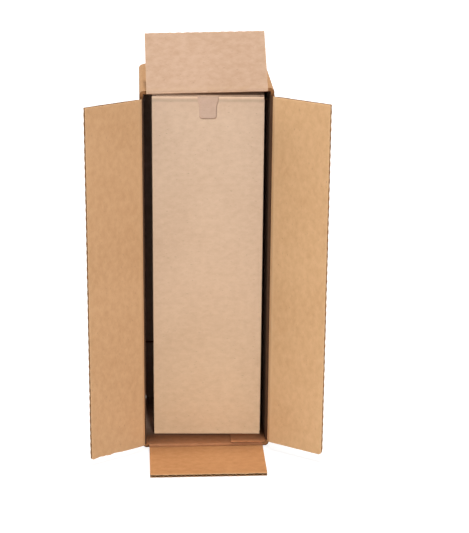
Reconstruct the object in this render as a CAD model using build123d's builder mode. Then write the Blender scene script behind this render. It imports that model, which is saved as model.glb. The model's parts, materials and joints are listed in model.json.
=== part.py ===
from build123d import *
import os
from math import atan, cos, radians, sin, tan

os.makedirs("parts", exist_ok=True)

# Bottle shipping box: a slotted carton that stands on a short end, with its long side open to the
# front (-Y). A smaller tuck-end carton stands inside it, with the sheets that hold a bottle.
# X is the width, Y the depth and Z the height. The origin is the middle of the base's underside.

# Shipping case, sizes inside the closed case
inside_width = 114.3
inside_depth = 114.3
inside_height = 342.9

# Corrugated board of the case
board = 3.2
liner = 0.30
medium = 0.28
flute_pitch = 7.9
flute_crest = 1.6
fold_inner = 0.6

# Scores, where the board is pressed so that it folds
score_half = 4.3
score_web = 0.6
score_flat = 0.8

# Flaps. The right wall was glued a little high, so its flaps sit higher than the left ones, and the
# top wall slopes up to it.
short_flap = 61.8
seam_gap = 1.0
stack_gap = 0.3
slot_inset = 2.8
long_flap_inset = 2.6
rear_inset = 0.8
right_wall_lift = 2.2

# How far each flap stands open, in degrees from closed
left_open = 149.5
right_open = 146.7
top_open = 223.0
bottom_open = 90.0

# Glue lap of the case: the right wall's edge, pressed and glued over the bottom wall
lap_width = 33.0
lap_rise = 1.0
lap_setback = 0.6
lap_slant = 14.0

# Paper tape over the rear seam
tape_width = 50.0
tape_thickness = 0.3

# Inner carton, of thinner board, and the room round it
carton_board = 1.5
carton_left_gap = 9.4
carton_right_gap = 2.2
carton_recess = 25.7
carton_rear_gap = 2.9
carton_turn = 2.4
carton_head_gap = 5.6
carton_fold_inner = 0.5
layer_gap = 0.2
lid_drop = 0.8
tuck_length = 32.0
tuck_inset = 1.0
tuck_corner = 6.0
dust_flap = 40.0
carton_lap = 25.0
carton_lap_slant = 15.0

# Thumb notch in the carton's front panel
notch_width = 16.0
notch_depth = 21.1
notch_corner = 2.8
notch_flare = 1.5
flare_depth = 9.0
flare_fillet = 6.0

# Sheets inside the carton that hold the bottle
insert_clearance = 0.6
insert_edge = 3.0
tray_height = 20.0
bottle_diameter = 78.0
bottle_collar_height = 65.0
neck_diameter = 31.0
neck_collar_height = 95.0
hole_clearance = 1.0

# Lines that the sizes above give
fold_outer = board + fold_inner
short_line = inside_depth / 2 + board / 2
long_line = inside_depth / 2 + board + stack_gap + board / 2
hinge_x = inside_width / 2 + board / 2
hinge_low = board / 2
mid_height = board + inside_height / 2
right_middle = mid_height + right_wall_lift
outer_width = inside_width + 2 * board
top_slope = atan(right_wall_lift / inside_width)
top_across = Vector(cos(top_slope), 0, sin(top_slope))
top_inside = board + inside_height + right_wall_lift / 2
top_middle = top_inside + board / 2 / cos(top_slope)
top_outside = top_inside + board / cos(top_slope)
long_flap = hinge_x - seam_gap / 2
long_span = inside_height - 2 * long_flap_inset
short_span = inside_width - 2 * slot_inset
rear_span = inside_height - 2 * rear_inset
sleeve_end = short_line - score_half


def score_outline(reach):
    """Section of board from a score to a point further along it, for a wall that ends at a hinge."""
    return [
        (score_flat, -score_web / 2),
        (score_flat, score_web / 2),
        (score_half, board / 2),
        (reach, board / 2),
        (reach, -board / 2),
        (score_half, -board / 2),
    ]


# Outer case: one slotted, scored sheet, glued into a sleeve, with its rear flaps folded shut
wall_reach = long_line - sleeve_end
with BuildPart() as outer_case:
    # Four walls with rounded folds between them
    room_corners = [
        (-inside_width / 2, board),
        (inside_width / 2, board),
        (inside_width / 2, board + inside_height + right_wall_lift),
        (-inside_width / 2, board + inside_height),
    ]
    with BuildSketch(Plane.XZ.offset(sleeve_end)):
        with BuildLine():
            FilletPolyline(*room_corners, radius=fold_inner, close=True)
        room = make_face()
        offset(amount=board)
        add(room, mode=Mode.SUBTRACT)
    extrude(amount=-2 * sleeve_end)

    # Side walls run further forward than the top and bottom, because the long flaps close last
    for side, middle in ((-1, mid_height), (1, right_middle)):
        wall_plane = Plane(origin=(side * hinge_x, -long_line, middle), x_dir=(0, 1, 0), z_dir=(0, 0, 1))
        with BuildSketch(wall_plane):
            Polygon(*score_outline(wall_reach), align=None)
        extrude(amount=long_span / 2, both=True)

    # Top and bottom walls end at the short flaps' scores
    for height, across in ((hinge_low, Vector(1, 0, 0)), (top_middle, top_across)):
        wall_plane = Plane(origin=(0, -short_line, height), x_dir=(0, 1, 0), z_dir=across)
        with BuildSketch(wall_plane):
            Polygon(*score_outline(2 * score_half), align=None)
        extrude(amount=short_span / 2, both=True)

    # Rear short flaps, folded in first
    rear_short_face = short_line + board / 2
    for base, across, turn in ((0, Vector(1, 0, 0), 1), (top_outside, top_across, -1)):
        with BuildSketch(Plane(origin=(0, 0, base), x_dir=(0, 1, 0), z_dir=across)):
            with BuildLine():
                FilletPolyline(
                    (sleeve_end - board, 0),
                    (rear_short_face, 0),
                    (rear_short_face, turn * (board / 2 + short_flap)),
                    radius=fold_outer,
                )
                offset(amount=board, side=Side.LEFT if turn > 0 else Side.RIGHT)
            make_face()
        extrude(amount=inside_width / 2 - rear_inset, both=True)

    # Rear long flaps, folded over them, meet at the seam
    rear_face = long_line + board / 2
    for side, middle in ((-1, mid_height), (1, right_middle)):
        with BuildSketch(Plane.XY.offset(middle)):
            with BuildLine():
                FilletPolyline(
                    (side * outer_width / 2, sleeve_end - board),
                    (side * outer_width / 2, rear_face),
                    (side * seam_gap / 2, rear_face),
                    radius=fold_outer,
                )
                offset(amount=board, side=Side.RIGHT if side < 0 else Side.LEFT)
            make_face()
        extrude(amount=rear_span / 2, both=True)

    # Glue lap on the floor at the right, with its front end cut at a slant
    lap_root = lap_setback - sleeve_end
    lap_tip = lap_root + lap_width * tan(radians(lap_slant))
    with BuildSketch(Plane.XY.offset(board)):
        with BuildLine():
            Polyline(
                (inside_width / 2, lap_root),
                (inside_width / 2 - lap_width, lap_tip),
                (inside_width / 2 - lap_width, -lap_tip),
                (inside_width / 2, -lap_root),
                close=True,
            )
        make_face()
    extrude(amount=lap_rise)
outer_case.part.label = "outer_case"
export_step(outer_case.part, "parts/outer_case.step")


# Front flaps: each is board with open flutes at its cut edges and a pressed score at its hinge
flute_room = board - 2 * liner
flute_base = flute_pitch - flute_crest - 3 * medium
left_angle = radians(left_open)
right_angle = radians(right_open)
top_angle = radians(top_open)
bottom_angle = radians(bottom_open)
flap_rows = [
    (
        "flap_left",
        Vector(-hinge_x, -long_line, mid_height),
        Vector(cos(left_angle), -sin(left_angle), 0),
        Vector(0, 0, 1),
        (long_flap, long_span),
    ),
    (
        "flap_right",
        Vector(hinge_x, -long_line, right_middle),
        Vector(-cos(right_angle), -sin(right_angle), 0),
        Vector(0, 0, 1),
        (long_flap, long_span),
    ),
    (
        "flap_top",
        Vector(0, -short_line, top_middle),
        Vector(cos(top_angle) * sin(top_slope), -sin(top_angle), -cos(top_angle) * cos(top_slope)),
        top_across,
        (short_flap, short_span),
    ),
    (
        "flap_bottom",
        Vector(0, -short_line, hinge_low),
        Vector(0, -sin(bottom_angle), cos(bottom_angle)),
        Vector(1, 0, 0),
        (short_flap, short_span),
    ),
]
for name, hinge, outward, along, (reach, span) in flap_rows:
    with BuildPart() as flap:
        # Board from its round root on the hinge line, through the pressed score, to the free edge
        with BuildSketch(Plane(origin=hinge, x_dir=outward, z_dir=along)):
            with BuildLine():
                ThreePointArc((0, -score_web / 2), (-score_web / 2, 0), (0, score_web / 2))
                Polyline(
                    (0, score_web / 2),
                    (score_flat, score_web / 2),
                    (score_half, board / 2),
                    (reach, board / 2),
                    (reach, -board / 2),
                    (score_half, -board / 2),
                    (score_flat, -score_web / 2),
                    (0, -score_web / 2),
                )
            make_face()
        extrude(amount=span / 2, both=True)

        # Flutes: rows of channels under each liner in turn, open at the free edge and the cut sides
        rows = int(span / flute_pitch)
        edge_plane = Plane(origin=hinge + outward * reach, x_dir=along, z_dir=outward)
        for side, count in ((1, rows + rows % 2 + 1), (-1, rows + rows % 2 + 2)):
            with BuildSketch(edge_plane):
                with GridLocations(flute_pitch, 0, count, 1):
                    Polygon(
                        (-flute_base / 2, side * flute_room / 2),
                        (flute_base / 2, side * flute_room / 2),
                        (flute_crest / 2, side * (medium - flute_room / 2)),
                        (-flute_crest / 2, side * (medium - flute_room / 2)),
                        align=None,
                    )
            extrude(amount=2 * score_half - reach, mode=Mode.SUBTRACT)
    flap.part.label = name
    export_step(flap.part, f"parts/{name}.step")


# Paper tape that closes the rear seam, as long as the two flaps lie side by side
with BuildPart() as rear_tape:
    with BuildSketch(Plane.XZ.offset(-rear_face - tape_thickness)):
        with Locations((0, (mid_height + right_middle) / 2)):
            Rectangle(tape_width, rear_span - right_wall_lift)
    extrude(amount=tape_thickness)
rear_tape.part.label = "rear_tape"
export_step(rear_tape.part, "parts/rear_tape.step")


# Inner carton: its place inside the case, where it stands a little askew
carton_left = -inside_width / 2 + carton_left_gap
carton_right = inside_width / 2 - carton_right_gap
carton_width = carton_right - carton_left
carton_x = (carton_left + carton_right) / 2
carton_front = -long_line + carton_recess
carton_back = inside_depth / 2 - carton_rear_gap
carton_depth = carton_back - carton_front
carton_y = (carton_front + carton_back) / 2
carton_floor = board + lap_rise
carton_top = board + inside_height - carton_head_gap
carton_height = carton_top - carton_floor
carton_fold = carton_board + carton_fold_inner
dust_drop = carton_board + layer_gap
closure_width = carton_width - 2 * carton_fold_inner
tuck_width = carton_width - 2 * (2 * carton_board + tuck_inset)
carton_axis = Axis((carton_x, carton_y, 0), (0, 0, 1))

# Inner carton: one folded sheet, lid and floor tucked in, with a thumb notch at the front
with BuildPart() as inner_carton:
    # Four walls with rounded folds
    with BuildSketch(Plane.XY.offset(carton_floor + dust_drop + carton_fold)):
        with Locations((carton_x, carton_y)):
            RectangleRounded(carton_width, carton_depth, carton_fold)
            RectangleRounded(
                carton_width - 2 * carton_board,
                carton_depth - 2 * carton_board,
                carton_fold_inner,
                mode=Mode.SUBTRACT,
            )
    extrude(amount=carton_height - 2 * (dust_drop + carton_fold))

    # Front panel with the floor, and rear panel with the lid. Each closure ends in a narrower tuck,
    # with rounded corners, which slides in behind the panel across from it.
    rear_tuck = carton_back - carton_board - layer_gap
    front_tuck = carton_front + carton_board + layer_gap
    closure_plane = Plane(origin=(carton_x, 0, 0), x_dir=(0, 1, 0), z_dir=(1, 0, 0))
    for panel, panel_end, level, tuck, turn in (
        (carton_front, carton_top - lid_drop, carton_floor, rear_tuck, 1),
        (carton_back, carton_floor + lid_drop, carton_top, front_tuck, -1),
    ):
        tuck_end = level + turn * tuck_length
        for span, corners in (
            (closure_width, [(panel, panel_end), (panel, level), (tuck - turn * carton_fold, level)]),
            (tuck_width, [(carton_y, level), (tuck, level), (tuck, tuck_end)]),
        ):
            with BuildSketch(closure_plane):
                with BuildLine():
                    FilletPolyline(*corners, radius=carton_fold)
                    offset(amount=carton_board, side=Side.LEFT)
                make_face()
            extrude(amount=span / 2, both=True)
        tuck_corners = inner_carton.edges().filter_by(Axis.Y).filter_by_position(
            Axis.Z, tuck_end - layer_gap, tuck_end + layer_gap
        )
        fillet(tuck_corners, tuck_corner)

    # Side panels fold in at both ends as dust flaps, under the lid and over the floor
    dust_span = carton_depth - 2 * (dust_drop + carton_fold)
    for side in (-1, 1):
        wall_x = carton_x + side * carton_width / 2
        for end, turn in ((carton_floor + dust_drop, 1), (carton_top - dust_drop, -1)):
            with BuildSketch(Plane.XZ.offset(-carton_y)):
                with BuildLine():
                    FilletPolyline(
                        (wall_x, end + turn * 2 * carton_fold),
                        (wall_x, end),
                        (wall_x - side * dust_flap, end),
                        radius=carton_fold,
                    )
                    offset(amount=carton_board, side=Side.LEFT if side * turn < 0 else Side.RIGHT)
                make_face()
            extrude(amount=dust_span / 2, both=True)

    # Glue lap: the rear panel's edge, folded forward inside the left panel, with slanted ends
    lap_back = carton_back - carton_board
    lap_drop = carton_lap * tan(radians(carton_lap_slant))
    lap_low = carton_floor + dust_drop + 2 * carton_fold
    lap_high = carton_top - dust_drop - 2 * carton_fold
    with BuildSketch(Plane.YZ.offset(carton_left + carton_board)):
        Polygon(
            (lap_back, lap_low),
            (lap_back, lap_high),
            (lap_back - carton_lap, lap_high - lap_drop),
            (lap_back - carton_lap, lap_low + lap_drop),
            align=None,
        )
    extrude(amount=carton_board)

    # Thumb notch, cut through the front panel only: it flares at its mouth and has rounded corners
    notch_top = carton_top - lid_drop
    notch_low = notch_top - notch_depth
    notch_mouth = notch_top + 2 * lid_drop
    half = notch_width / 2
    with BuildSketch(Plane.XZ.offset(-carton_front)):
        with BuildLine():
            FilletPolyline(
                (carton_x - half - notch_flare, notch_mouth),
                (carton_x - half - notch_flare, notch_top - flare_depth / 2),
                (carton_x - half, notch_top - flare_depth),
                (carton_x - half, notch_low),
                (carton_x + half, notch_low),
                (carton_x + half, notch_top - flare_depth),
                (carton_x + half + notch_flare, notch_top - flare_depth / 2),
                (carton_x + half + notch_flare, notch_mouth),
                radius=[flare_fillet, flare_fillet, notch_corner, notch_corner, flare_fillet, flare_fillet],
            )
            Line(
                (carton_x + half + notch_flare, notch_mouth),
                (carton_x - half - notch_flare, notch_mouth),
            )
        make_face()
    extrude(amount=-carton_board - layer_gap / 2, mode=Mode.SUBTRACT)
standing_carton = inner_carton.part.rotate(carton_axis, -carton_turn)
standing_carton.label = "inner_carton"
export_step(standing_carton, "parts/inner_carton.step")


# Sheets that hold the bottle: each is a deck with four skirts folded the same way, beside the lap
room_floor = carton_floor + dust_drop + carton_board
room_top = carton_top - dust_drop - carton_board
insert_x = carton_x + carton_board / 2
insert_width = carton_width - 3 * carton_board - 2 * insert_clearance
insert_depth = carton_depth - 2 * (carton_board + dust_drop + insert_clearance)
tray_deck = room_floor + tray_height
insert_rows = [
    ("base_tray", tray_deck, tray_height, -1, 0),
    ("bottle_collar", tray_deck + bottle_collar_height, bottle_collar_height, -1, bottle_diameter),
    ("neck_collar", room_top - neck_collar_height, neck_collar_height, 1, neck_diameter),
]
for name, deck_face, skirt, way, hole in insert_rows:
    with BuildPart() as insert:
        for size, span, x_dir, z_dir in (
            (insert_width, insert_depth, (1, 0, 0), (0, -1, 0)),
            (insert_depth, insert_width, (0, 1, 0), (1, 0, 0)),
        ):
            with BuildSketch(Plane(origin=(insert_x, carton_y, deck_face), x_dir=x_dir, z_dir=z_dir)):
                with BuildLine():
                    FilletPolyline(
                        (-size / 2, way * skirt),
                        (-size / 2, 0),
                        (size / 2, 0),
                        (size / 2, way * skirt),
                        radius=carton_fold,
                    )
                    offset(amount=carton_board, side=Side.RIGHT if way < 0 else Side.LEFT)
                make_face()
            extrude(amount=span / 2 - insert_edge, both=True)
        if hole > 0:
            with BuildSketch(Plane.XY.offset(deck_face)):
                with Locations((insert_x, carton_y)):
                    Circle(hole / 2 + hole_clearance)
            extrude(amount=2 * carton_board, both=True, mode=Mode.SUBTRACT)
    standing_insert = insert.part.rotate(carton_axis, -carton_turn)
    standing_insert.label = name
    export_step(standing_insert, f"parts/{name}.step")
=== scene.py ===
import json
import math
from dataclasses import dataclass

import bmesh
import bpy
from bpy.props import FloatProperty, FloatVectorProperty, PointerProperty
from bpy.types import Operator, Panel, PropertyGroup
from mathutils import Matrix, Vector, noise


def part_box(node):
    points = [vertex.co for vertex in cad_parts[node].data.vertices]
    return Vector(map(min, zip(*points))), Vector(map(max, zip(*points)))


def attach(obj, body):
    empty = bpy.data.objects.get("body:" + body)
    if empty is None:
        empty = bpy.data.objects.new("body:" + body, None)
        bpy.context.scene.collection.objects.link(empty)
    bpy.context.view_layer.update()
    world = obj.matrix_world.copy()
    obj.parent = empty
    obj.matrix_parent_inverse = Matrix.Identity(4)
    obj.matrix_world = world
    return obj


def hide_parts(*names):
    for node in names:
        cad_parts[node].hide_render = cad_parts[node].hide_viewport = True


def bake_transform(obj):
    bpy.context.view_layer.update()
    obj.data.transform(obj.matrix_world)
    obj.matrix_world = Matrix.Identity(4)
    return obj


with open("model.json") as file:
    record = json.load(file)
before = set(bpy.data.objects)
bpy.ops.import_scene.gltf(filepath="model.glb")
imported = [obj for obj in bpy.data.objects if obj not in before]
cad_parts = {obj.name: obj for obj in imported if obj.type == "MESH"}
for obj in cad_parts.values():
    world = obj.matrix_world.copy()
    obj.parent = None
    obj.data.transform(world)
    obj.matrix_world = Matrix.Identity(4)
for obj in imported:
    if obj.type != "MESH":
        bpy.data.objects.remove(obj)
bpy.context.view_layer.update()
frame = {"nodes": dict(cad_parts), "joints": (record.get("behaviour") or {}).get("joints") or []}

bl_info = {
    "name": "Bottle shipping box",
    "version": (1, 0, 0),
    "blender": (4, 5, 0),
    "location": "View3D > Sidebar > Shipping box",
    "description": "Corrugated case with hinged flaps, its inner carton, its tape and a studio",
    "category": "Object",
}

MM = 0.001
FULL_TURN = 2 * math.pi
SMOOTH_ANGLE = math.radians(32)
WHITE = (1, 1, 1, 1)

# What a mesh carries for its materials: a map along and across the flutes, and how worn it is,
# which also places a painted highlight along the scores
BOARD_UV = "Board"
WEAR = "Wear"

# Material slots: a flap's, a folded sheet's, and what the case and the carton have besides
FLAP_INNER, FLAP_OUTER, FLAP_EDGE, FLAP_FLUTES = range(4)
SHEET_PAPER, SHEET_CUT = range(2)
CASE_ENDS, CASE_SIDES, CASE_LAP = range(2, 5)
CARTON_TUCK = 2

# Each front flap: its joint, and the way it points when it is closed
FLAPS = {
    "flap_left": ("left_flap_hinge", (1, 0, 0)),
    "flap_right": ("right_flap_hinge", (-1, 0, 0)),
    "flap_top": ("top_flap_hinge", (0, 0, -1)),
    "flap_bottom": ("bottom_flap_hinge", (0, 0, 1)),
}


# ---- settings


def paint(red, green, blue):
    """A colour written as on a paint card, 0 to 255, as the linear colour that a shader takes."""
    linear = []
    for value in (red, green, blue):
        share = value / 255
        linear.append(share / 12.92 if share <= 0.04045 else ((share + 0.055) / 1.055) ** 2.4)
    return tuple(linear)


def colour_property(name, description, *rgb):
    return FloatVectorProperty(
        name=name, description=description, default=paint(*rgb), subtype="COLOR", min=0, max=1
    )


def length_property(name, description, millimetres):
    return FloatProperty(
        name=name, description=description, default=millimetres * MM,
        unit="LENGTH", subtype="DISTANCE",
    )


def power_property(name, description, watts):
    return FloatProperty(name=name, description=description, default=watts, unit="POWER")


class BoardSettings(PropertyGroup):
    """Sizes of the corrugated board."""

    board: length_property("Board", "Thickness of the case's board", 3.2)
    liner: length_property("Liner", "Thickness of each flat paper", 0.30)
    medium: length_property("Medium", "Thickness of the fluted paper between them", 0.28)
    flute_pitch: length_property("Flute pitch", "From one flute to the next", 7.9)
    score_half: length_property("Score half width", "From the fold to the full thickness", 4.3)
    score_flat: length_property("Score flat", "From the fold to where the board thickens", 0.8)
    score_web: length_property("Score thickness", "Thickness of the board at its fold", 0.6)
    washboard: length_property("Washboard", "How deep the paper sinks between flutes", 0.02)
    squeeze: length_property("Squeeze", "How far a cut presses each flat paper in", 0.72)
    squeeze_width: length_property("Squeeze width", "How far from a cut that reaches", 2.4)
    fray: length_property("Fray", "How uneven the cut edges are", 0.35)
    tear: length_property("Tear", "How far the left flap's inner paper is torn back", 1.3)
    warp: length_property("Warp", "How far a flap is from flat", 0.35)
    sharp_corner: length_property("Cut corner", "Radius of a crisp corner", 0.6)
    blunt_corner: length_property("Blunt corner", "Radius of the left flap's lower corner", 1.6)
    worn_corner: length_property("Worn corner", "Radius of the right flap's lower corner", 3.5)
    cut_depth: length_property("Cut depth", "How deep the case's cut edges are open", 1.2)
    lap_thickness: length_property("Glue lap", "Thickness of the case's pressed lap", 1.0)
    lap_front: length_property("Lap front", "From the middle to the lap's front edge", 56.6)
    fine_board: length_property("Fine board", "Thickness of the carton's board", 1.5)
    fine_liner: length_property("Fine liner", "Thickness of the carton's flat paper", 0.25)
    fine_pitch: length_property("Fine pitch", "From one flute to the next in fine board", 1.6)
    fine_cut_depth: length_property("Fine cut", "How deep the carton's cut edges are open", 0.3)


class PaperSettings(PropertyGroup):
    """Colours of the papers."""

    # The four flaps are one board: their tints differ as painted light and shade, set for how each
    # flap is lit
    flap_left: colour_property("Left flap", "Inner face of the left flap", 206, 162, 120)
    flap_right: colour_property("Right flap", "Inner face of the right flap", 217, 174, 129)
    flap_top: colour_property("Top flap", "Inner face of the top flap", 202, 168, 142)
    flap_bottom: colour_property("Bottom flap", "Inner face of the bottom flap", 208, 152, 102)
    case: colour_property("Case", "Outer faces of the case", 196, 150, 106)
    inside: colour_property("Case inside", "Inner faces of the case", 198, 140, 100)
    # Painted light: the case's inner paper far in is painted paler, to lift the dark gaps beside
    # the carton
    deep: colour_property("Case inside, deep", "Inner faces far behind the opening", 214, 188, 172)
    # The carton's high, middle and low colours: partly its own tint, partly painted light
    carton_top: colour_property("Carton, high", "The inner carton towards its lid", 222, 192, 165)
    carton_mid: colour_property("Carton, middle", "The inner carton halfway up", 221, 187, 156)
    carton_low: colour_property("Carton, low", "The inner carton towards its floor", 219, 185, 149)
    # Painted shade: the tuck is the carton's own board, painted darker for the shade inside the
    # thumb notch
    tuck: colour_property("Tuck", "The lid's tuck, which the thumb notch shows", 209, 179, 158)
    insert: colour_property("Inserts", "Sheets that hold the bottle", 196, 152, 110)
    tape: colour_property("Tape", "Gummed paper tape", 178, 130, 84)
    strand: colour_property("Strands", "Glass threads in the tape", 214, 176, 130)
    medium: colour_property("Flutes", "Fluted paper between the flat ones", 150, 104, 64)
    cut: colour_property("Cut edge", "Raw edges of the papers", 228, 184, 138)
    # The worn tone also paints the highlight along the flaps' scores
    worn: colour_property("Worn paper", "Rubbed edges and pressed scores", 226, 188, 146)


class StudioSettings(PropertyGroup):
    """The studio."""

    key: power_property("Key light", "Power of the front light", 34)
    top: power_property("Top light", "Power of the light overhead", 24)
    side: power_property("Side light", "Power of the light at the left", 12)
    back: power_property("Back light", "Power of each light behind", 26)
    room: FloatProperty(name="Room light", description="Strength all round", default=0.12)
    lens: FloatProperty(name="Lens", description="Focal length", default=115.38, unit="CAMERA")


# ---- shader node groups and materials


# Kraft paper's patterns: features in a metre, and how far each is drawn out across the flutes
CLOUDS = 14.0
MOTTLING, MOTTLING_DRAWN = 210.0, 0.6
FIBRES, FIBRES_DRAWN = 2400.0, 0.14
FLECKS, FLECKS_DRAWN = 900.0, 0.3

PLAIN_SHARE = 0.28  # how far plain paper is from its light tone to its dark one
CLOUD_STRENGTH = 0.9
FLECK_COLOUR = (0.12, 0.06, 0.025, 1)

# Ramps of a pattern's value: from which value to which, and what the two become
FLECKS_SHOWN = (0.70, 0.78, 0.0, 0.45)
WEAR_PATCHES = (0.35, 0.65, 0.35, 1.0)
ROUGH_PATCHES = (0.2, 0.8, 0.74, 0.90)

# How much each effect adds to the relief, whose full height is RELIEF
RELIEF = 0.15 * MM
FIBRE_RELIEF, MOTTLE_RELIEF, STRIPE_RELIEF, STRAND_RELIEF = 0.35, 0.5, 0.6, 0.8

# The tape's glass threads: how far apart, how wide against that, and the way each set slants
STRAND_SPACING = 12 * MM
STRAND_WIDTH = 0.035
STRAND_SLOPES = (0.35, -0.35, 0.0)
STRAND_STRENGTH = 0.22

# A dark tone against its light one, red, green and blue
DARK_KRAFT = (0.80, 0.74, 0.66)
DARK_CARTON = (0.84, 0.80, 0.76)


def node_group(name, inputs, outputs):
    """An empty shader group with those sockets, each a label and its kind, and its two ends."""
    group = bpy.data.node_groups.new(name, "ShaderNodeTree")
    for in_out, sockets in (("INPUT", inputs), ("OUTPUT", outputs)):
        for label, kind in sockets.items():
            group.interface.new_socket(label, in_out=in_out, socket_type="NodeSocket" + kind)
    return group, group.nodes.new("NodeGroupInput"), group.nodes.new("NodeGroupOutput")


class Wiring:
    """Adds nodes to one tree, with their settings and links in a line each."""

    def __init__(self, tree):
        self.tree = tree

    def add(self, kind, settings=(), **values):
        """A node: settings are its own choices, and values its sockets, by name or as i0, i1 and
        so on by place. A value is a number or another node's socket.
        """
        node = self.tree.nodes.new("ShaderNode" + kind)
        for key, value in dict(settings).items():
            setattr(node, key, value)
        for key, value in values.items():
            socket = node.inputs[int(key[1:]) if key[1:].isdigit() else key.replace("_", " ")]
            if isinstance(value, bpy.types.NodeSocket):
                self.tree.links.new(value, socket)
            else:
                socket.default_value = value
        return node

    def group(self, name, build, vector):
        """A node of a shared group, which is built when it is first used."""
        node = self.tree.nodes.new("ShaderNodeGroup")
        node.node_tree = bpy.data.node_groups.get(name) or build(name)
        self.tree.links.new(vector, node.inputs["Vector"])
        return node

    def math(self, operation, first, second=0.0, third=0.0):
        node = self.add("Math", {"operation": operation}, i0=first, i1=second, i2=third)
        return node.outputs[0]

    def noise(self, vector, scale, detail, drawn=None, roughness=0.5):
        """Soft random patches, drawn out along the second axis where drawn is under 1."""
        if drawn is not None:
            vector = self.add("Mapping", Vector=vector, Scale=(1.0, drawn, 1.0)).outputs[0]
        node = self.add("TexNoise", Vector=vector, Scale=scale, Detail=detail, Roughness=roughness)
        return node.outputs["Fac"]

    def ramp(self, value, low, high, to_low=0.0, to_high=1.0):
        node = self.add("MapRange", i0=value, i1=low, i2=high, i3=to_low, i4=to_high)
        return node.outputs[0]

    def blend(self, value, tones):
        """A colour that passes through tones, a place and a colour each, as value goes up."""
        node = self.add("ValToRGB", Fac=value)
        points = node.color_ramp.elements
        points[0].position, points[-1].position = tones[0][0], tones[-1][0]
        for place, _ in tones[1:-1]:
            points.new(place)
        for point, (_, colour) in zip(points, tones):
            point.color = (*colour, 1)
        return node.outputs["Color"]

    def product(self, colour, share):
        settings = {"data_type": "RGBA", "blend_type": "MULTIPLY"}
        return self.add("Mix", settings, i0=1.0, i6=colour, i7=(*share, 1)).outputs[2]

    def mix(self, share, first, second):
        node = self.add("Mix", {"data_type": "RGBA"}, i0=share, i6=first, i7=second)
        return node.outputs[2]


def build_kraft_group(name):
    """Kraft paper: broad clouds, mottling, fibres, dark flecks and the flutes' faint stripes."""
    group, given, result = node_group(
        name,
        {
            "Vector": "Vector", "Light": "Color", "Dark": "Color", "Cloud": "Float",
            "Mottle": "Float", "Fibre": "Float", "Stripe": "Float", "Pitch": "Float",
            "Wear": "Float", "Worn tone": "Color",
        },
        {"Colour": "Color", "Roughness": "Float", "Height": "Float"},
    )
    w = Wiring(group)
    place = given.outputs["Vector"]
    cloud = w.noise(place, CLOUDS, detail=2.0)
    mottle = w.noise(place, MOTTLING, detail=4.0, drawn=MOTTLING_DRAWN, roughness=0.6)
    fibre = w.noise(place, FIBRES, detail=2.0, drawn=FIBRES_DRAWN, roughness=0.6)
    fleck = w.noise(place, FLECKS, detail=1.0, drawn=FLECKS_DRAWN)
    across = w.add("SeparateXYZ", Vector=place).outputs["Y"]
    turns = w.math("DIVIDE", across, given.outputs["Pitch"])
    stripe = w.math("COSINE", w.math("MULTIPLY", turns, FULL_TURN))

    # Each effect swings round zero, and its strength says how far it goes towards the dark tone
    share = w.math("MULTIPLY", w.math("SUBTRACT", cloud, 0.5), given.outputs["Cloud"])
    for value, strength in ((mottle, "Mottle"), (fibre, "Fibre")):
        swing = w.math("SUBTRACT", value, 0.5)
        share = w.math("MULTIPLY_ADD", swing, given.outputs[strength], share)
    faint = w.math("MULTIPLY", given.outputs["Stripe"], 0.5)
    share = w.math("MULTIPLY_ADD", stripe, faint, share)
    share = w.add("Clamp", Value=w.math("ADD", share, PLAIN_SHARE)).outputs[0]
    tone = w.mix(share, given.outputs["Light"], given.outputs["Dark"])
    spots = w.math("MULTIPLY", w.ramp(fleck, *FLECKS_SHOWN), given.outputs["Fibre"])
    tone = w.mix(spots, tone, FLECK_COLOUR)
    patchy = w.math("MULTIPLY", given.outputs["Wear"], w.ramp(mottle, *WEAR_PATCHES))
    tone = w.mix(patchy, tone, given.outputs["Worn tone"])

    height = w.math("MULTIPLY", mottle, MOTTLE_RELIEF)
    height = w.math("MULTIPLY_ADD", fibre, FIBRE_RELIEF, height)
    ridges = w.math("MULTIPLY", given.outputs["Stripe"], STRIPE_RELIEF)
    height = w.math("MULTIPLY_ADD", stripe, ridges, height)
    group.links.new(tone, result.inputs["Colour"])
    group.links.new(w.ramp(mottle, *ROUGH_PATCHES), result.inputs["Roughness"])
    group.links.new(height, result.inputs["Height"])
    return group


def build_strand_group(name):
    """Tape reinforcement: glass threads under the paper that cross as long diamonds."""
    group, given, result = node_group(
        name, {"Vector": "Vector", "Spacing": "Float"}, {"Mask": "Float"}
    )
    w = Wiring(group)
    parts = w.add("SeparateXYZ", Vector=given.outputs["Vector"])
    mask = 0.0
    for slope in STRAND_SLOPES:
        line = w.math("MULTIPLY_ADD", parts.outputs["Y"], slope, parts.outputs["X"])
        turn = w.math("FRACT", w.math("DIVIDE", line, given.outputs["Spacing"]))
        off = w.math("ABSOLUTE", w.math("SUBTRACT", turn, 0.5))
        mask = w.math("MAXIMUM", mask, w.ramp(off, 0.0, STRAND_WIDTH, 1.0, 0.0))
    group.links.new(mask, result.inputs["Mask"])
    return group


def scaled(colour, share):
    """The same colour, darker where share is under 1 and paler where it is over."""
    return tuple(value * share for value in colour)


def new_material(name):
    """A material, its node tree and its shader."""
    material = bpy.data.materials.new(name)
    material.use_nodes = True
    return material, material.node_tree, material.node_tree.nodes["Principled BSDF"]


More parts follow.
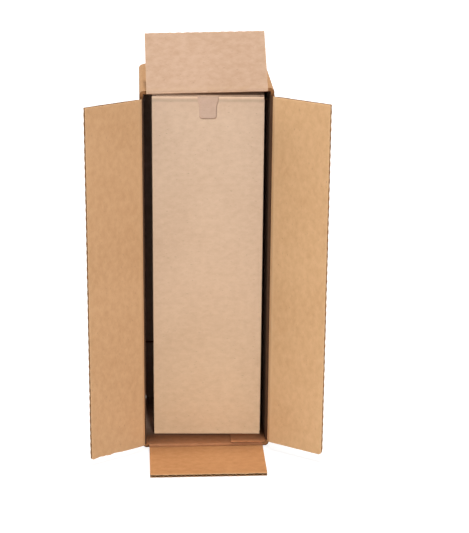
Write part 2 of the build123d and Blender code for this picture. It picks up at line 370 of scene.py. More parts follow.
def kraft_material(
    name, colour, dark=DARK_KRAFT, mottle=1.5, fibre=0.7, stripe=0.03, pitch=None,
    uv=BOARD_UV, bump=0.25, strands=False, worn=None, fade=None,
):
    """A kraft paper with its own tint, and a pattern on the board's own map or the object's axes.

    The pitch is the case's unless it is given. A fade is an axis, two places on it, and the tones
    that the paper passes through from one to the other.
    """
    material, tree, shader = new_material(name)
    w = Wiring(tree)
    if uv:
        place = w.add("UVMap", {"uv_map": uv}).outputs["UV"]
    else:
        place = w.add("TexCoord").outputs["Object"]
    paper = w.group("Kraft paper", build_kraft_group, place)
    for label, value in (
        ("Light", (*colour, 1)),
        ("Dark", (*(value * share for value, share in zip(colour, dark)), 1)),
        ("Cloud", CLOUD_STRENGTH),
        ("Mottle", mottle),
        ("Fibre", fibre),
        ("Stripe", stripe),
        ("Pitch", pitch or bpy.context.scene.box_board.flute_pitch),
    ):
        paper.inputs[label].default_value = value
    if fade:
        axis, low, high, tones = fade
        way = w.add("SeparateXYZ", Vector=w.add("TexCoord").outputs["Object"]).outputs[axis]
        tint = w.blend(w.ramp(way, low, high), tones)
        tree.links.new(tint, paper.inputs["Light"])
        tree.links.new(w.product(tint, dark), paper.inputs["Dark"])
    if worn:
        wear = w.add("Attribute", {"attribute_name": WEAR}).outputs["Fac"]
        tree.links.new(wear, paper.inputs["Wear"])
        paper.inputs["Worn tone"].default_value = (*worn, 1)
    tone, height = paper.outputs["Colour"], paper.outputs["Height"]
    if strands:
        threads = w.group("Tape strands", build_strand_group, place)
        threads.inputs["Spacing"].default_value = STRAND_SPACING
        pale = w.math("MULTIPLY", threads.outputs["Mask"], STRAND_STRENGTH)
        tone = w.mix(pale, tone, (*bpy.context.scene.box_paper.strand, 1))
        height = w.math("MULTIPLY_ADD", threads.outputs["Mask"], STRAND_RELIEF, height)
    tree.links.new(tone, shader.inputs["Base Color"])
    tree.links.new(paper.outputs["Roughness"], shader.inputs["Roughness"])
    relief = w.add("Bump", Strength=bump, Distance=RELIEF, Height=height)
    tree.links.new(relief.outputs["Normal"], shader.inputs["Normal"])
    shader.inputs["Specular IOR Level"].default_value = 0.25
    return material


# ---- mesh helpers


def part_way(value, low, high):
    """How far value is on its way from low to high, from 0 to 1."""
    return min(max((value - low) / (high - low), 0.0), 1.0)


def uneven(middle, swing, *place):
    """A number round middle that wanders as its place goes on by 1, the same in each run."""
    return middle + swing * noise.noise(Vector(place))


def add_object(name, data):
    """A new object in the scene."""
    made = bpy.data.objects.new(name, data)
    bpy.context.scene.collection.objects.link(made)
    return made


def add_piece(bm, name, materials, placement=None, sharpen=True):
    """Turns a bmesh into an object at the origin, with its place in its mesh."""
    mesh = bpy.data.meshes.new(name)
    bm.to_mesh(mesh)
    bm.free()
    if placement is not None:
        mesh.transform(placement)
    if sharpen:
        mesh.set_sharp_from_angle(angle=SMOOTH_ANGLE)
    for material in materials:
        mesh.materials.append(material)
    piece = add_object(name, mesh)
    return piece


def grid(bm, low, high, cells):
    """A flat grid of quads between two corners in the XY plane."""
    size = Vector(high) - Vector(low)
    middle = (Vector(low) + Vector(high)) / 2
    place = Matrix.Translation(middle.to_3d()) @ Matrix.Diagonal((size.x, size.y, 1, 1))
    made = bmesh.ops.create_grid(
        bm, x_segments=cells[0], y_segments=cells[1], size=0.5, matrix=place, calc_uvs=False
    )
    return made["verts"]


def thicken(bm, faces, thickness):
    """Gives a sheet its thickness, away from its normals, and returns the faces that this adds."""
    before = set(bm.faces)
    bmesh.ops.solidify(bm, geom=faces, thickness=thickness)
    return [face for face in bm.faces if face not in before]


def write_uv(bm, rule):
    """Writes the board's own map, in metres. The rule takes a face's normal and a point on it."""
    layer = bm.loops.layers.uv.new(BOARD_UV)
    for face in bm.faces:
        for loop in face.loops:
            loop[layer].uv = rule(face.normal, loop.vert.co)


def flat_uv(normal, co):
    """The map of a sheet that lies in the XY plane, with its flutes along X."""
    return co.x, co.y


# ---- front flaps


# Rows of cells from a flap's fold to its cut edge, and cells to a flute
LINER_ROWS, LINER_CELLS = 34, 8
MEDIUM_ROWS, MEDIUM_CELLS = 10, 14
CREASE_CELLS = (14, 40)

CROWDED_ENDS = 0.035  # the share of a flap's half span, at each end, where its rows lie closer
END_BAND = 5 * MM  # how far from an end the papers are drawn in
TORN_FROM, TORN_FULLY, TORN_TO = 0.35, 0.55, 0.1  # shares of its reach: the last is from its tip
FRAYS, FINE_FRAYS = 420, 1500  # how many there are in a metre
TEARS, FINE_TEARS = 160, 700

SCORE_FULLNESS = 5  # how steeply the inner side of a score rises
SCORE_CLEARANCE = 0.25 * MM  # how much further out its outer side starts to rise
# Along the score the wear also stands for a painted highlight
SCORE_RUBBED, SCORE_RUB_WIDTH = 2.0 * MM, 2.2 * MM  # where it is worn, from the fold
EDGE_BAND = 1.5 * MM  # how near its tip a face of the flutes is a raw edge

# How far the fluted paper starts beyond the score's flat, stays behind the flat papers' edges
# and stays clear of the flat papers
MEDIUM_START, MEDIUM_BACK, MEDIUM_CLEARANCE = 0.6 * MM, 0.1 * MM, 0.03 * MM

# Painted shade on the wall's side of each crease, and painted light on the bottom one: how bright
# it is against the case's inner paper
CREASE_SHADES = {"flap_left": 0.22, "flap_right": 0.5, "flap_top": 0.22, "flap_bottom": 1.2}


def flap_frame(node):
    """A flap's joint, its placement at rest, how far it stands open, its reach and its span.

    The placement has X outward from the score, Y along it and Z out of the inner face.
    """
    joint_name, closed = FLAPS[node]
    joint = next(j for j in frame["joints"] if j["name"] == joint_name)
    opened = math.radians(-joint["range_deg"][0])
    axis = Vector(joint["axis"])
    turn = Matrix.Rotation(opened, 3, axis)
    flat = Vector(closed) - axis * axis.dot(Vector(closed))
    outward = turn @ flat.normalized()
    inner = turn @ Vector((0, 1, 0))
    along = inner.cross(outward)
    placement = Matrix((outward, along, inner)).transposed().to_4x4()
    placement.translation = Vector(joint["pos_m"])
    points = [placement.inverted() @ v.co for v in frame["nodes"][node].data.vertices]
    reach = max(p.x for p in points)
    span = 2 * max(p.y for p in points)
    return joint, placement, opened, reach, span


def board_half(x, board, side):
    """Half the board's thickness at x from its fold: fuller on the inner side of the score, and
    slimmer on the outer side, which comes close to the wall when the flap is wide open.
    """
    start = board.score_flat + (SCORE_CLEARANCE if side < 0 else 0)
    share = part_way(x, start, board.score_half)
    if side > 0:
        share = 1 - (1 - share) ** SCORE_FULLNESS
    return board.score_web / 2 + share * (board.board - board.score_web) / 2


@dataclass
class FlapShape:
    """The outline and the small unevenness of one flap, at x from its fold and y along it."""

    board: BoardSettings
    reach: float
    span: float
    seed: float
    corners: tuple  # their radii at its two ends
    torn: int = 0  # the end at which its inner paper is torn, -1 or 1
    lies: bool = False  # on the surface
    ragged: float = 0.6
    # wear and painted highlight along the score
    score_wear: float = 0.3

    def from_end(self, y):
        """How far y is from the nearer end of the flap."""
        return self.span / 2 - abs(y)

    def across(self, y):
        """The same place along the fold, with the rows nearest to both ends drawn towards them."""
        last = self.span / 2
        place, plain = abs(y) / last, 1 - CROWDED_ENDS
        crowded = 1 - (1 - part_way(place, plain, 1)) ** 2
        return math.copysign(last * (min(place, plain) + CROWDED_ENDS * crowded), y)

    def edge(self, y, layer):
        """How far a paper or the flutes reach at y: rounded at the corners, a little frayed, and
        on the flat papers drawn back between the flutes.
        """
        radius = self.corners[y > 0]
        inside = max(0.0, radius - self.from_end(y))
        rounded = radius - math.sqrt(max(radius * radius - inside * inside, 0.0))
        fray = uneven(0.5, 0.5, y * FRAYS, self.seed, layer)
        fray += uneven(0.15, 0.15, y * FINE_FRAYS, self.seed, layer + 5)
        if layer == FLAP_INNER:
            fray += self.hollow(y, 1)
        elif layer == FLAP_OUTER:
            fray += self.hollow(y, -1)
        return self.reach - rounded - self.ragged * self.board.fray * fray

    def drawn_in(self, x, y, layer):
        """How far a paper's rows near the flap's ends are drawn in, more where it is torn."""
        end = math.copysign(1, y)
        near = max(0.0, 1 - self.from_end(y) / END_BAND)
        rough = uneven(0.5, 0.5, x * TEARS, 7 * end, self.seed + layer)
        rough += uneven(0.0, 0.3, x * FINE_TEARS, 9 * end, self.seed + layer)
        depth = 0.8 * self.board.fray
        if layer == FLAP_INNER and y * self.torn > 0:
            place = x / self.reach
            torn = part_way(place, TORN_FROM, TORN_FULLY) * part_way(1 - place, 0, TORN_TO)
            depth += self.board.tear * torn
        return end * near * near * depth * max(rough, 0.0)

    def near_cut(self, x, y):
        """1 at a cut edge of the flap, falling to 0 a little way in."""
        width = self.board.squeeze_width
        gap = min(self.reach - x, self.from_end(y) * 1.5 + 0.2 * width)
        return (1 - part_way(gap, 0, width)) ** 2

    def hollow(self, y, side):
        """0 where a flute holds up the flat paper on that side, and 1 halfway between two."""
        return (1 - side * math.cos(FULL_TURN * y / self.board.flute_pitch)) / 2

    def squeeze(self, x, y, side):
        """How far a flat paper is pressed in there: most where no flute holds it up, and little
        on the side that the flap lies on.
        """
        rough = uneven(0.7, 0.5, x * 30, y * 160, self.seed + 8 * side)
        held = 0.12 + 0.88 * self.hollow(y, side)
        pressed = 0.125 if self.lies and side < 0 else 1.0
        return self.board.squeeze * pressed * self.near_cut(x, y) * held * rough

    def wear(self, x, y):
        """How worn the paper is: along its cut edges, and where the score was pressed, where it
        also stands for a painted highlight along the score.
        """
        rough = uneven(0.6, 0.4, x * 70, y * 55, self.seed + 12)
        score = math.exp(-(((x - SCORE_RUBBED) / SCORE_RUB_WIDTH) ** 2))
        return part_way((0.9 * self.near_cut(x, y) + self.score_wear * score) * rough, 0, 1)

    def lift(self, x, y):
        """How far the board's middle is from flat: nothing at its fold, and up where it lies."""
        broad = uneven(0.0, 0.8, x * 14, y * 9, self.seed)
        small = uneven(0.0, 0.35, x * 60, y * 45, self.seed + 3)
        bend = abs(broad + small) if self.lies else broad + small
        return self.board.warp * part_way(x, 0, self.reach) * bend


def flap_grid(bm, shape, rows, cells):
    """The points and faces of a grid whose X is 0 at the fold and 1 at the cut edge."""
    cells_across = int(shape.span / shape.board.flute_pitch * cells)
    verts = grid(bm, (0, -shape.span / 2), (1, shape.span / 2), (rows, cells_across))
    return verts, list(dict.fromkeys(face for vert in verts for face in vert.link_faces))


def add_liner(bm, shape, side, layer):
    """One flat paper of a flap: thin over the score, and faintly sunk between the flutes."""
    board = shape.board
    wear = bm.verts.layers.float.get(WEAR) or bm.verts.layers.float.new(WEAR)
    verts, faces = flap_grid(bm, shape, LINER_ROWS, LINER_CELLS)
    for vert in verts:
        y = shape.across(vert.co.y)
        x = shape.edge(y, layer) * (1 - math.cos(math.pi * vert.co.x)) / 2
        sunk = board.washboard * shape.hollow(y, side) * min(x / board.score_half, 1.0)
        height = board_half(x, board, side) - sunk - shape.squeeze(x, y, side)
        vert[wear] = shape.wear(x, y)
        vert.co = Vector((x, y - shape.drawn_in(x, y, layer), side * height + shape.lift(x, y)))
    for face in faces:
        face.material_index = layer
        face.smooth = True
    if side < 0:
        bmesh.ops.reverse_faces(bm, faces=faces)
    for face in thicken(bm, faces, board.liner):
        face.smooth = True
        face.material_index = FLAP_EDGE if abs(face.normal.z) < 0.5 else FLAP_FLUTES


def add_medium(bm, shape):
    """The fluted paper between the two flat ones, squeezed flat towards the score."""
    board = shape.board
    wave = FULL_TURN / board.flute_pitch
    half_paper = board.medium / 2
    start = board.score_flat + MEDIUM_START
    last = shape.span / 2 - MEDIUM_BACK
    verts, faces = flap_grid(bm, shape, MEDIUM_ROWS, MEDIUM_CELLS)
    for vert in verts:
        y = vert.co.y
        end = shape.edge(y, FLAP_EDGE) - MEDIUM_BACK
        x = start + (end - start) * vert.co.x ** 1.5
        crest = math.cos(wave * y)
        room = board_half(x, board, -1) - board.liner - half_paper - MEDIUM_CLEARANCE
        room = max(room - shape.squeeze(x, y, math.copysign(1, crest)), 0.0)
        slope = -room * wave * math.sin(wave * y)
        steep = math.sqrt(1 + slope * slope)
        across = min(max(y - half_paper * slope / steep, -last), last)
        vert.co = Vector((x, across, room * crest + half_paper / steep + shape.lift(x, y)))
    made = thicken(bm, faces, board.medium)
    bm.normal_update()
    for face in faces + made:
        face.smooth = True
        face.material_index = FLAP_FLUTES
    for face in made:
        at_cut = face.calc_center_median().x > shape.reach - EDGE_BAND
        if at_cut and face.normal.x > 0.6:
            face.material_index = FLAP_EDGE


def make_flap(node, **finish):
    """One front flap as three sheets of paper, which rides on its own body. Its finish is what
    FlapShape has from the corners on.
    """
    board, papers = bpy.context.scene.box_board, bpy.context.scene.box_paper
    joint, placement, _, reach, span = flap_frame(node)
    seed = len(joint["name"]) * 1.7
    shape = FlapShape(board, reach, span, seed, **finish)
    bm = bmesh.new()
    add_liner(bm, shape, 1, FLAP_INNER)
    add_liner(bm, shape, -1, FLAP_OUTER)
    add_medium(bm, shape)
    write_uv(bm, flat_uv)
    # Each flap's inner paper takes its own tint, which is painted light and shade
    materials = [
        kraft_material(node + " inner paper", getattr(papers, node), worn=papers.worn),
        kraft_material(node + " outer paper", papers.case, worn=papers.worn),
        kraft_material(node + " raw edge", papers.cut, mottle=1.2, stripe=0.0, bump=0.6),
        kraft_material(node + " flutes", papers.medium, mottle=1.0, stripe=0.0, bump=0.5),
    ]
    piece = add_piece(bm, node + "_board", materials, placement)
    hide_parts(node)
    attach(piece, joint["child"])


class SHIPBOX_OT_side_flaps(Operator):
    """Build the two long flaps"""

    bl_idname = "shipbox.side_flaps"
    bl_label = "Side flaps"

    def execute(self, context):
        board = context.scene.box_board
        make_flap("flap_left", corners=(board.sharp_corner, board.blunt_corner), torn=1)
        # The right flap's score carries a strong painted highlight
        make_flap("flap_right", corners=(board.worn_corner, board.sharp_corner), score_wear=0.9)
        return {"FINISHED"}


class SHIPBOX_OT_end_flaps(Operator):
    """Build the two short flaps"""

    bl_idname = "shipbox.end_flaps"
    bl_label = "End flaps"

    def execute(self, context):
        board = context.scene.box_board
        crisp = (board.sharp_corner, board.sharp_corner)
        make_flap("flap_top", corners=crisp, ragged=0.21)
        make_flap("flap_bottom", corners=crisp, lies=True)
        return {"FINISHED"}


class SHIPBOX_OT_creases(Operator):
    """Build the folded strips where the flaps join the case"""

    bl_idname = "shipbox.creases"
    bl_label = "Creases"

    def execute(self, context):
        board, papers = context.scene.box_board, context.scene.box_paper
        half = board.score_flat
        thickness = board.score_web * 0.85
        overlap = 0.2 * MM
        for node, shade in CREASE_SHADES.items():
            joint, placement, opened, _, span = flap_frame(node)
            bm = bmesh.new()
            corner = Vector((half + overlap, span / 2 - overlap))
            grid(bm, -corner, corner, CREASE_CELLS)
            thicken(bm, bm.faces[:], thickness)
            bmesh.ops.translate(bm, verts=bm.verts, vec=(0, 0, thickness / 2))
            write_uv(bm, flat_uv)
            for face in bm.faces:
                face.smooth = True
                face.material_index = int(face.calc_center_median().x < 0)
            hinge = Vector(joint["pos_m"])
            self.fold(bm, hinge, Vector(joint["axis"]), placement, opened - math.pi / 2, half)
            bmesh.ops.recalc_face_normals(bm, faces=bm.faces)
            materials = [
                kraft_material(node + " score paper", getattr(papers, node)),
                kraft_material(node + " score shade", scaled(papers.inside, shade)),
            ]
            piece = add_piece(bm, node.replace("flap", "crease"), materials)
            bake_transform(piece)
        return {"FINISHED"}

    def fold(self, bm, hinge, axis, placement, angle, half):
        """Puts the flat strip in place, and turns it back by the angle towards the wall's side."""
        for vert in bm.verts:
            share = part_way(vert.co.x, -half, half)
            share = share * share * (3 - 2 * share)
            turn = Matrix.Rotation(-angle * (1 - share), 3, axis)
            vert.co = hinge + turn @ (placement @ vert.co - hinge)


# ---- case, carton, tape and inserts


# A cut edge is a strip as wide as the board: its area, over its border and the board's
# thickness, is a half if it is long and down to a quarter if it is short
CUT_STRIP = (0.24, 0.53)
SQUARE_ON = 0.999  # a normal's largest part, on a face that looks along an axis
SAME_PLANE = 0.99999
LARGE_FACE = 30  # against the square of the board's thickness
CARTON_PANEL = 0.001  # square metres: each of the carton's panels is larger

# On a face that looks along X, Y or Z, the axes that run along the flutes and across them
CASE_FLUTES = ((1, 2), (0, 2), (1, 0))
CARTON_FLUTES = ((2, 1), (2, 0), (1, 0))

# The glue lap's front edge lies in front of LAP_BACK and to the right of LAP_LEFT. It is cut
# into short runs, lifted, and waved outwards and upwards.
LAP_BACK, LAP_LEFT = -42 * MM, 20 * MM
LAP_CUTS = 24
LAP_LIFT = 0.4 * MM
LAP_WAVE_OUT, LAP_WAVE_UP = 0.2 * MM, 0.25 * MM

# Tones by depth, painted light and shade, from the case's mouth to its middle: each a place on
# that way and a share
INWARD = ("Y", -60 * MM, 0.0)
# The glue lap: a painted highlight along its front edge, and painted shade further in
LAP_LIGHT_AND_SHADE = ((0.0, 1.65), (0.06, 1.65), (0.12, 1.2), (0.18, 0.8), (0.28, 0.6), (0.42, 0.45))

# Tones up the carton, partly its own tint and partly painted light: each a place, a colour's
# property and a share. The last few are the lid's fold, with a painted highlight on its edge over
# a painted dark line.
CARTON_TINT_AND_LIGHT = (
    (0.0, "carton_low", 1.1), (0.012, "carton_low", 1.06), (0.022, "carton_low", 1.0),
    (0.45, "carton_mid", 1.0), (0.93, "carton_top", 1.0), (0.980, "carton_top", 0.97),
    (0.985, "carton_top", 0.80), (0.990, "carton_top", 0.84), (0.9945, "carton_top", 1.28),
    (0.9990, "carton_top", 1.28), (1.0, "carton_top", 1.0),
)

# The rear tape: how deep it ripples, how deep it sinks into the seam, and how wide that dip is
TAPE_CELLS = (40, 150)
TAPE_RIPPLE, TAPE_DIP, TAPE_DIP_WIDTH = 0.08 * MM, 0.1 * MM, 1.6 * MM


def flat_regions(bm):
    """The mesh's flat areas: each a list of triangles that join and lie in one plane."""
    left = set(bm.faces)
    regions = []
    for first in bm.faces:
        if first not in left:
            continue
        left.discard(first)
        region = [first]
        for face in region:
            for edge in face.edges:
                for other in edge.link_faces:
                    if other in left and other.normal.dot(first.normal) > SAME_PLANE:
                        left.discard(other)
                        region.append(other)
        regions.append(region)
    return regions


def board_copy(node, thickness, liner, depth):
    """A copy of a folded node, merged, with its cut edges open between the papers."""
    bm = bmesh.new()
    bm.from_mesh(frame["nodes"][node].data)
    bmesh.ops.remove_doubles(bm, verts=bm.verts, dist=0.001 * MM)
    bm.faces.ensure_lookup_table()
    for edge in bm.edges:
        edge.smooth = len(edge.link_faces) == 2 and edge.calc_face_angle() < SMOOTH_ANGLE
    cut = []
    for region in flat_regions(bm):
        inside = set(region)
        edges = [edge for face in region for edge in face.edges]
        border = [edge for edge in edges if not inside.issuperset(edge.link_faces)]
        area = sum(face.calc_area() for face in region)
        if area > LARGE_FACE * thickness ** 2:
            for edge in border:
                edge.smooth = False
        width = area / sum(edge.calc_length() for edge in border) / thickness
        square = max(map(abs, region[0].normal)) > SQUARE_ON
        if square and CUT_STRIP[0] < width < CUT_STRIP[1]:
            if len(region) > 1:
                merged = bmesh.ops.dissolve_faces(bm, faces=region, use_verts=False)
                region = merged["region"]
            cut.extend(region)
    for face in bm.faces:
        face.smooth = True
    made = bmesh.ops.inset_individual(
        bm, faces=cut, thickness=liner, depth=-depth, use_even_offset=True
    )
    for face in made["faces"] + cut:
        face.material_index = SHEET_CUT
        for edge in face.edges:
            edge.smooth = False
    return bm


def folded_uv(flutes):
    """The map of a folded sheet, whose flutes run along and across those axes."""

    def rule(normal, co):
        facing = max((1, 2, 0), key=lambda axis: abs(normal[axis]))
        along, across = flutes[facing]
        return co[along], co[across]

    return rule


class SHIPBOX_OT_case(Operator):
    """Build the case's four walls and its folded rear flaps"""

    bl_idname = "shipbox.case"
    bl_label = "Case"

    def execute(self, context):
        board, papers = context.scene.box_board, context.scene.box_paper
        bm = board_copy("outer_case", board.board, board.liner, board.cut_depth)
        low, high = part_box("inner_carton")
        for face in bm.faces:
            away = face.calc_center_median() - (low + high) / 2
            if face.material_index == SHEET_PAPER and away.dot(face.normal) < 0:
                face.material_index = CASE_ENDS if abs(face.normal.x) < 0.5 else CASE_SIDES
        self.finish_lap(bm, board)
        write_uv(bm, folded_uv(CASE_FLUTES))
        lap_light_and_shade = tuple((place, scaled(papers.inside, share)) for place, share in LAP_LIGHT_AND_SHADE)
        materials = [
            kraft_material("case paper", papers.case, stripe=0.08),
            kraft_material("case flutes", papers.medium, mottle=1.0, stripe=0.0, bump=0.5),
            # The inner papers carry painted shade by depth, darkest on the side walls even at the
            # mouth
            self.inner_paper(papers, "case inner paper", mouth=1.0, shade=0.46),
            self.inner_paper(papers, "case inner side paper", mouth=0.17, shade=0.07),
            # The glue lap paper carries a painted highlight at its front edge and painted shade
            # behind it
            kraft_material("glue lap paper", papers.inside, fade=(*INWARD, lap_light_and_shade)),
        ]
        piece = add_piece(bm, "case_board", materials, sharpen=False)
        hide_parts("outer_case")
        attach(piece, "case")
        return {"FINISHED"}

    def finish_lap(self, bm, board):
        """Brings the lap's front edge out over the score, lifts it in waves and marks its top."""
        top = board.board + board.lap_thickness

        def at_front(vert):
            level = abs(vert.co.z - top) < 0.1 * MM
            return level and vert.co.y < LAP_BACK - 1.0 * MM and vert.co.x > LAP_LEFT

        everything = bm.verts[:] + bm.edges[:] + bm.faces[:]
        bmesh.ops.bisect_plane(bm, geom=everything, plane_co=(0, LAP_BACK, 0), plane_no=(0, 1, 0))
        front = [edge for edge in bm.edges if all(map(at_front, edge.verts))]
        bmesh.ops.subdivide_edges(bm, edges=front, cuts=LAP_CUTS)
        for vert in filter(at_front, bm.verts):
            flute = math.cos(FULL_TURN * vert.co.x / board.flute_pitch)
            vert.co.y = LAP_WAVE_OUT * flute - board.lap_front
            vert.co.z += LAP_LIFT + LAP_WAVE_UP * flute
        bm.normal_update()
        for face in bm.faces:
            height = face.calc_center_median().z - top
            if face.normal.z > 0.8 and -0.1 * MM < height < 0.7 * MM:
                face.material_index = CASE_LAP

    def inner_paper(self, papers, name, mouth, shade):
        """The case's inner paper, with painted shade that gathers between its walls and the
        carton, and a paler deep colour far in that is painted light.
        """
        shares = ((0.0, mouth), (0.07, mouth), (0.20, (mouth + shade) / 2), (0.38, shade))
        tones = [(place, scaled(papers.inside, share)) for place, share in shares]
        fade = (*INWARD, [*tones, (1.0, papers.deep)])
        return kraft_material(name, papers.inside, stripe=0.08, fade=fade)


class SHIPBOX_OT_carton(Operator):
    """Build the inner carton"""

    bl_idname = "shipbox.carton"
    bl_label = "Inner carton"

    def execute(self, context):
        board, papers = context.scene.box_board, context.scene.box_paper
        bm = board_copy("inner_carton", board.fine_board, board.fine_liner, board.fine_cut_depth)
        low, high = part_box("inner_carton")
        panels = [face for face in bm.faces if face.calc_area() > CARTON_PANEL]
        front = min(panels, key=lambda face: face.calc_center_median().y)
        # Faces that look forward from behind the front panel get the tuck's painted shade
        for face in bm.faces:
            away = front.calc_center_median() - face.calc_center_median()
            behind = away.dot(front.normal) > board.fine_board * 0.9
            if behind and face.normal.dot(front.normal) > 0.9:
                face.material_index = CARTON_TUCK
        write_uv(bm, folded_uv(CARTON_FLUTES))
        look = {"dark": DARK_CARTON, "stripe": 0.05, "pitch": board.fine_pitch, "bump": 0.15}
        tones = [(z, scaled(getattr(papers, name), share)) for z, name, share in CARTON_TINT_AND_LIGHT]
        fade = ("Z", low.z, high.z, tones)
        materials = [
            kraft_material("carton paper", papers.carton_top, fade=fade, **look),
            kraft_material(
                "carton flutes", papers.medium, mottle=1.0, stripe=0.6, pitch=board.fine_pitch
            ),
            kraft_material("tuck paper", papers.tuck, **look),
        ]
        piece = add_piece(bm, "carton_board", materials, sharpen=False)
        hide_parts("inner_carton")
        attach(piece, "case")
        return {"FINISHED"}


class SHIPBOX_OT_tape(Operator):
    """Build the paper tape over the rear seam"""

    bl_idname = "shipbox.tape"
    bl_label = "Rear tape"

    def execute(self, context):
        papers = context.scene.box_paper
        low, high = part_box("rear_tape")
        bm = bmesh.new()
        for vert in grid(bm, (low.x, low.z), (high.x, high.z), TAPE_CELLS):
            x, z = vert.co.x, vert.co.y
            dip = TAPE_DIP * math.exp(-((x / TAPE_DIP_WIDTH) ** 2))
            ripple = TAPE_RIPPLE * uneven(0.5, 0.5, x * 90, z * 40, 2.0)
            vert.co = Vector((x, high.y - dip - ripple, z))
        bmesh.ops.recalc_face_normals(bm, faces=bm.faces)
        if sum(face.normal.y for face in bm.faces) < 0:
            bmesh.ops.reverse_faces(bm, faces=bm.faces)
        thicken(bm, bm.faces[:], (high.y - low.y) * 0.4)
        for face in bm.faces:
            face.smooth = True
        write_uv(bm, lambda normal, co: (co.x, co.z))
        material = kraft_material(
            "tape paper", papers.tape, mottle=0.9, fibre=0.8, stripe=0.0, bump=0.35, strands=True
        )
        piece = add_piece(bm, "seam_tape", [material])
        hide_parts("rear_tape")
        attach(piece, "case")
        return {"FINISHED"}


class SHIPBOX_OT_inserts(Operator):
    """Finish the three sheets that hold the bottle"""

    bl_idname = "shipbox.inserts"
    bl_label = "Bottle supports"

    def execute(self, context):
        board, papers = context.scene.box_board, context.scene.box_paper
        material = kraft_material(
            "insert paper", papers.insert, mottle=0.9, stripe=0.05, pitch=board.fine_pitch, uv=None
        )
        for node in ("base_tray", "bottle_collar", "neck_collar"):
            mesh = frame["nodes"][node].data
            mesh.materials.clear()
            mesh.materials.append(material)
        return {"FINISHED"}


# ---- studio


# Each lamp: its power's property, its size, its place and what it points at, in metres
MIDDLE = (0, 0, 0.17)
LAMPS = {
    "Key light": ("key", 0.34, (0.34, -2.2, 0.45), MIDDLE),
    "Top light": ("top", 0.22, (0, -0.05, 2.2), (0, -0.05, 0)),
    "Side light": ("side", 0.4, (-2.2, -0.25, 0.6), MIDDLE),
    "Left back light": ("back", 1.2, (-1.6, 2.1, 1.3), MIDDLE),
    "Right back light": ("back", 1.2, (2.3, 1.3, 1.1), MIDDLE),
}

FLOOR_HALF, FLOOR_CELLS = 9, (12, 12)
FLOOR_GREY = (0.5, 0.5, 0.5, 1)
GLOW_NEAR, GLOW_FAR = (0.5, 0.72), (2.0, 1.0)  # how far from the middle, and how bright there

CAMERA_PLACE = (-0.06458, -1.54443, 0.70619)
CAMERA_DOWN, CAMERA_LEFT, CAMERA_ROLL = map(math.radians, (19.328, -3.477, 0.527))
SENSOR_WIDTH = 36
CLIP_NEAR, CLIP_FAR = 0.05, 60


def add_lamp(name, power, size, place, target):
    """A square lamp that points at its target."""
    lamp = bpy.data.lights.new(name, "AREA")
    lamp.shape = "SQUARE"
    lamp.size = size
    lamp.energy = power
    lamp_object = add_object(name, lamp)
    lamp_object.location = place
    aim = Vector(target) - Vector(place)
    lamp_object.rotation_euler = aim.to_track_quat("-Z", "Y").to_euler()


def seen_directly(w):
    """1 for what the camera sees, straight or in a gloss or glass, and 0 for what lights."""
    path = w.add("LightPath")
    seen = w.math("MAXIMUM", path.outputs["Is Camera Ray"], path.outputs["Is Glossy Ray"])
    return w.math("MAXIMUM", seen, path.outputs["Is Transmission Ray"])


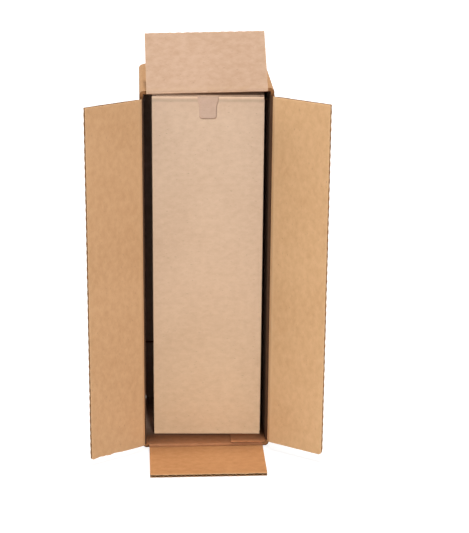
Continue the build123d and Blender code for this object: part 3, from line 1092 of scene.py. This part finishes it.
class SHIPBOX_OT_studio(Operator):
    """Set up the floor, the lights and the camera"""

    bl_idname = "shipbox.studio"
    bl_label = "Studio"

    def execute(self, context):
        studio = context.scene.box_studio
        self.add_floor()
        self.light_room(studio)
        for name, (power, size, place, target) in LAMPS.items():
            add_lamp(name, getattr(studio, power), size, place, target)
        self.add_camera(studio)
        context.scene.view_settings.view_transform = "Standard"
        return {"FINISHED"}

    def add_floor(self):
        """A pale floor that glows white towards the camera and keeps the object's shadow."""
        bm = bmesh.new()
        grid(bm, (-FLOOR_HALF, -FLOOR_HALF), (FLOOR_HALF, FLOOR_HALF), FLOOR_CELLS)
        mesh = bpy.data.meshes.new("Floor")
        bm.to_mesh(mesh)
        bm.free()
        material, tree, shader = new_material("Floor paper")
        w = Wiring(tree)
        shader.inputs["Base Color"].default_value = FLOOR_GREY
        shader.inputs["Roughness"].default_value = 0.9
        shader.inputs["Specular IOR Level"].default_value = 0.1
        shader.inputs["Emission Color"].default_value = WHITE
        place = w.add("TexCoord").outputs["Object"]
        away = w.add("VectorMath", {"operation": "LENGTH"}, i0=place).outputs["Value"]
        (near, dim), (far, bright) = GLOW_NEAR, GLOW_FAR
        glow = w.math("MULTIPLY", seen_directly(w), w.ramp(away, near, far, dim, bright))
        tree.links.new(glow, shader.inputs["Emission Strength"])
        mesh.materials.append(material)
        floor = add_object("Floor", mesh)

    def light_room(self, studio):
        """A dim light from all round, which the camera sees as white."""
        world = bpy.data.worlds.new("Studio room")
        bpy.context.scene.world = world
        world.use_nodes = True
        tree = world.node_tree
        w = Wiring(tree)
        fill = tree.nodes["Background"]
        fill.inputs["Color"].default_value = WHITE
        fill.inputs["Strength"].default_value = studio.room
        white = w.add("Background", Color=WHITE, Strength=1.0)
        both = w.add("MixShader", i0=seen_directly(w), i1=fill.outputs[0], i2=white.outputs[0])
        tree.links.new(both.outputs[0], tree.nodes["World Output"].inputs["Surface"])

    def add_camera(self, studio):
        """The photograph's camera, which looks down at the case from a little to its left."""
        turn = Matrix.Rotation(CAMERA_LEFT, 3, "Z")
        turn @= Matrix.Rotation(math.pi / 2 - CAMERA_DOWN, 3, "X")
        turn @= Matrix.Rotation(CAMERA_ROLL, 3, "Z")
        data = bpy.data.cameras.new("Camera")
        data.lens = studio.lens
        data.sensor_width = SENSOR_WIDTH
        data.clip_start, data.clip_end = CLIP_NEAR, CLIP_FAR
        camera = add_object("Camera", data)
        camera.location = CAMERA_PLACE
        camera.rotation_euler = turn.to_euler()
        bpy.context.scene.camera = camera


# ---- the add-on


OPERATORS = (
    SHIPBOX_OT_case,
    SHIPBOX_OT_side_flaps,
    SHIPBOX_OT_end_flaps,
    SHIPBOX_OT_creases,
    SHIPBOX_OT_carton,
    SHIPBOX_OT_tape,
    SHIPBOX_OT_inserts,
    SHIPBOX_OT_studio,
)


class SHIPBOX_PT_panel(Panel):
    """Lists the pieces and their sizes and colours"""

    bl_idname = "SHIPBOX_PT_panel"
    bl_label = "Shipping box"
    bl_space_type = "VIEW_3D"
    bl_region_type = "UI"
    bl_category = "Shipping box"

    def draw(self, context):
        column = self.layout.column()
        for operator in OPERATORS:
            column.operator(operator.bl_idname)
        for settings_name in SETTINGS:
            settings = getattr(context.scene, settings_name)
            box = self.layout.box()
            for name in settings.__annotations__:
                box.prop(settings, name)


SETTINGS = {"box_board": BoardSettings, "box_paper": PaperSettings, "box_studio": StudioSettings}


def register():
    for cls in (*SETTINGS.values(), *OPERATORS, SHIPBOX_PT_panel):
        bpy.utils.register_class(cls)
    for name, cls in SETTINGS.items():
        setattr(bpy.types.Scene, name, PointerProperty(type=cls))


def unregister():
    for name in SETTINGS:
        delattr(bpy.types.Scene, name)
    for cls in (SHIPBOX_PT_panel, *reversed(OPERATORS), *SETTINGS.values()):
        bpy.utils.unregister_class(cls)


def main():
    """Builds the box and its studio."""
    register()
    bpy.ops.shipbox.case()
    bpy.ops.shipbox.side_flaps()
    bpy.ops.shipbox.end_flaps()
    bpy.ops.shipbox.creases()
    bpy.ops.shipbox.carton()
    bpy.ops.shipbox.tape()
    bpy.ops.shipbox.inserts()
    bpy.ops.shipbox.studio()


if __name__ == "__main__":
    main()
